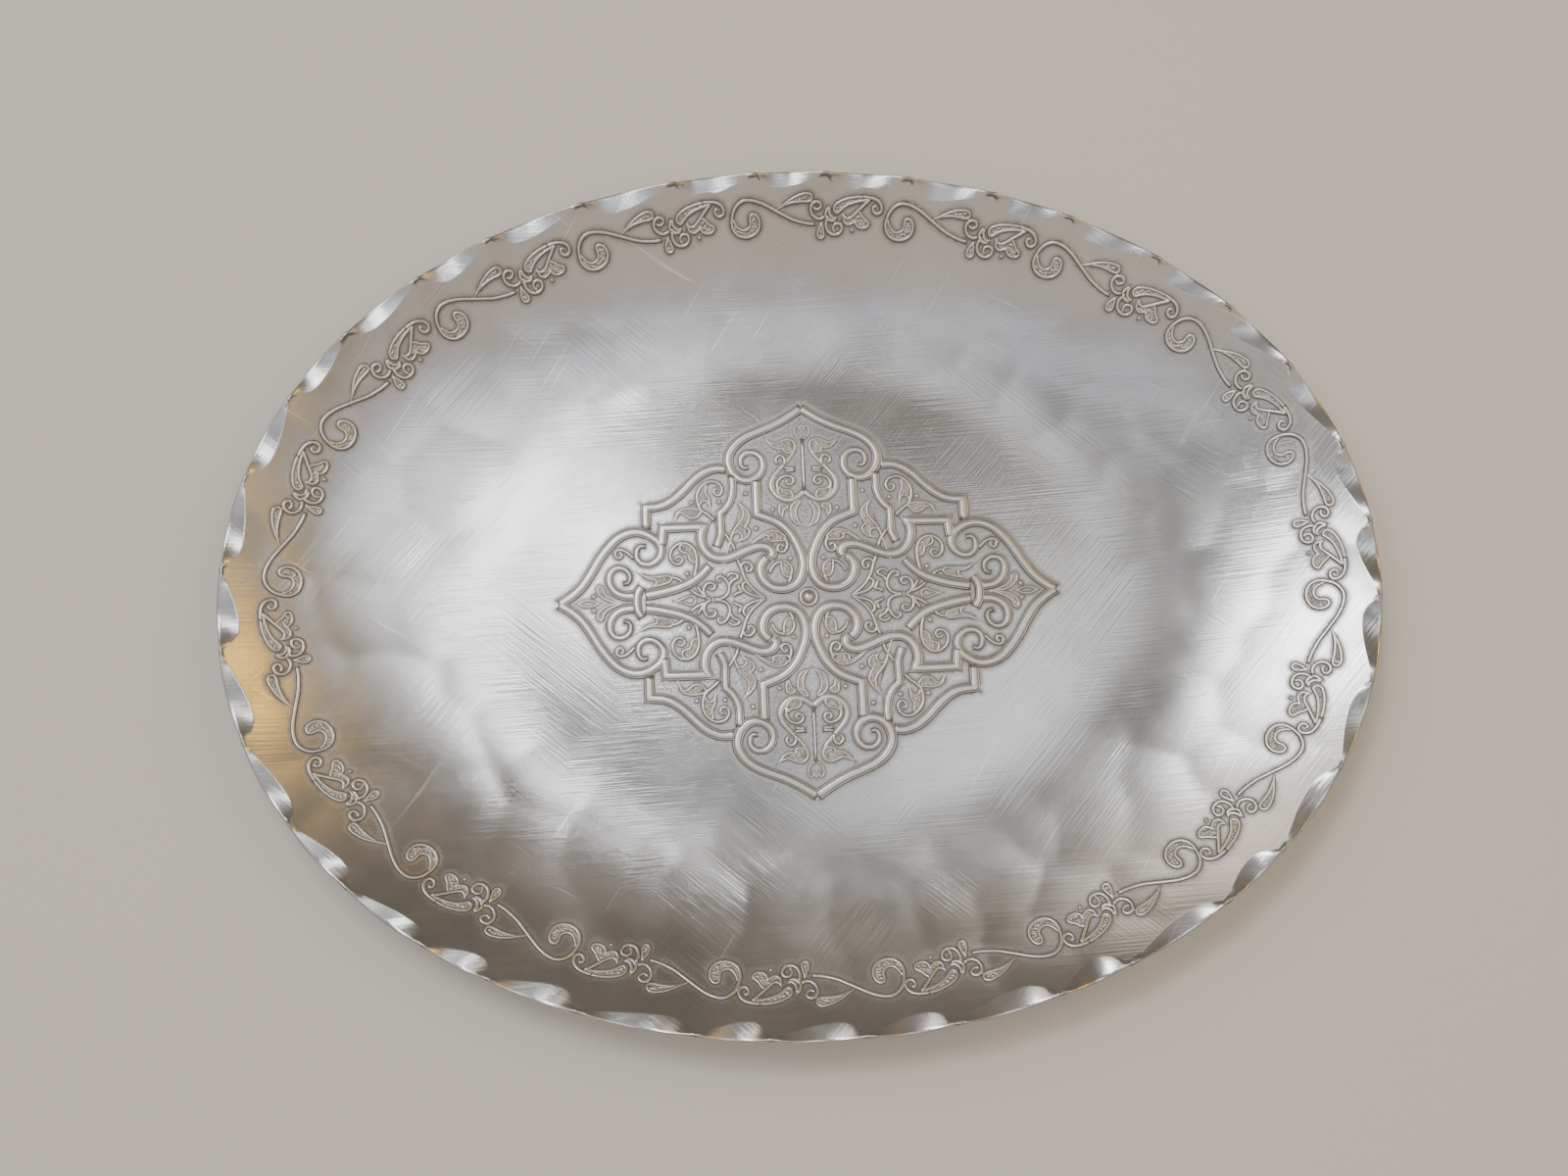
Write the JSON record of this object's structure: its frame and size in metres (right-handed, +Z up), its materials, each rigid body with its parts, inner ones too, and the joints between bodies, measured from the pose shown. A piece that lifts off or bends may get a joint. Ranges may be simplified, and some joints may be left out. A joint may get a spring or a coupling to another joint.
{
  "type": "serving tray",
  "caption": "Oval hand-hammered aluminium serving tray: a shallow dished sheet with a faceted edge and a raised medallion on its flat floor.",
  "frame": {"origin": "centre of the flat underside that the tray rests on, at the middle of the oval", "axes": "+Z up, out of the dish; X along the tray's length; Y across it, with +Y towards the top of the pattern"},
  "size_m": [0.407, 0.3114, 0.027],
  "materials": {
    "tray_aluminium": "hand-rubbed satin, hammered, with dark tarnish in the recesses of the relief"
  },
  "bodies": {
    "root": {"tray": "tray_aluminium"}
  },
  "joints": []
}
